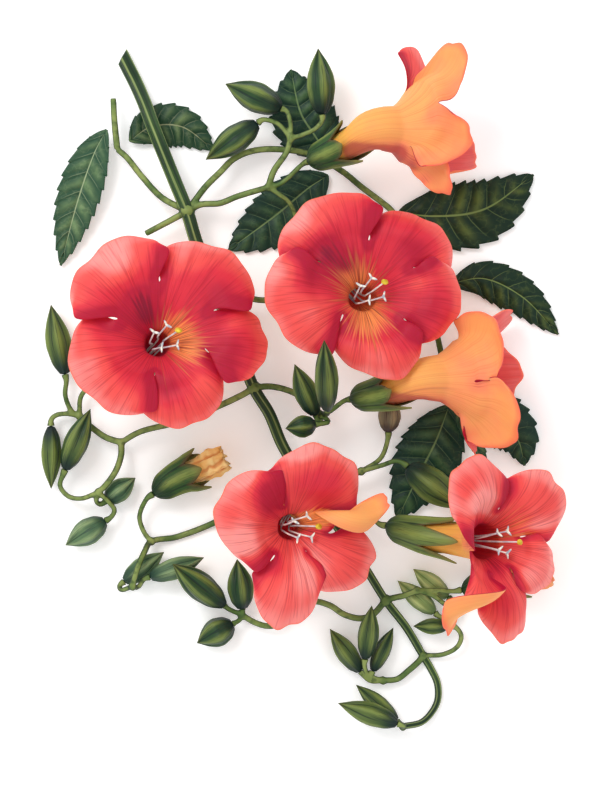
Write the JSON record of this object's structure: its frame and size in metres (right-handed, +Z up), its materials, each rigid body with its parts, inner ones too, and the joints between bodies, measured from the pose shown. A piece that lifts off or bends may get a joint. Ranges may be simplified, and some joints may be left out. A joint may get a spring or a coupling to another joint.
{
  "type": "trumpet vine",
  "caption": "Cut flowering spray of trumpet vine lying on a surface: a branched stem with open red trumpet flowers, closed green buds and toothed leaflets.",
  "frame": {"origin": "middle of the spray's outline, on the surface that it lies on", "axes": "+Y up the spray towards the cut end of the stem, +Z up from the surface, the way the open flowers face"},
  "size_m": [0.2002, 0.2614, 0.066],
  "materials": {
    "stem": "fibrous green stalk, satin",
    "petal": "thin petal, soft satin sheen",
    "stamen": "pale filaments, matte",
    "calyx": "leathery green, satin",
    "opening_petal": "crumpled young petal, matte",
    "bud": "leathery green, satin",
    "pale_bud": "young pale green, satin",
    "leaf": "dark green blade, satin",
    "pale_leaf": "underside of a blade, matte"
  },
  "bodies": {
    "root": {"stem": "stem", "flower_left_corolla": "petal", "flower_left_calyx": "calyx", "flower_left_stamens": "stamen", "flower_centre_corolla": "petal", "flower_centre_calyx": "calyx", "flower_centre_stamens": "stamen", "flower_lower_corolla": "petal", "flower_lower_calyx": "calyx", "flower_lower_stamens": "stamen", "flower_top_corolla": "petal", "flower_top_calyx": "calyx", "flower_top_stamens": "stamen", "flower_right_corolla": "petal", "flower_right_calyx": "calyx", "flower_right_stamens": "stamen", "flower_low_right_corolla": "petal", "flower_low_right_calyx": "calyx", "flower_low_right_stamens": "stamen", "opening_flower_corolla": "opening_petal", "opening_flower_calyx": "calyx", "half_open_bud_corolla": "opening_petal", "half_open_bud_calyx": "calyx", "bud_01": "bud", "bud_02": "bud", "bud_03": "bud", "bud_04": "bud", "bud_05": "bud", "bud_06": "bud", "bud_07": "bud", "bud_08": "bud", "bud_09": "bud", "bud_10": "bud", "bud_11": "bud", "bud_12": "bud", "bud_13": "bud", "bud_14": "bud", "bud_15": "bud", "bud_16": "bud", "bud_17": "bud", "bud_18": "bud", "bud_19": "pale_bud", "bud_20": "pale_bud", "bud_21": "bud", "bud_22": "bud", "bud_23": "bud", "bud_24": "bud", "bud_25": "bud", "bud_26": "bud", "leaf_upper_left": "leaf", "leaf_hanging": "leaf", "leaf_top": "leaf", "leaf_middle": "leaf", "leaf_right": "leaf", "leaf_behind": "leaf", "leaf_lower": "leaf", "leaf_low_right": "leaf", "leaf_edge_on": "pale_leaf"}
  },
  "joints": []
}
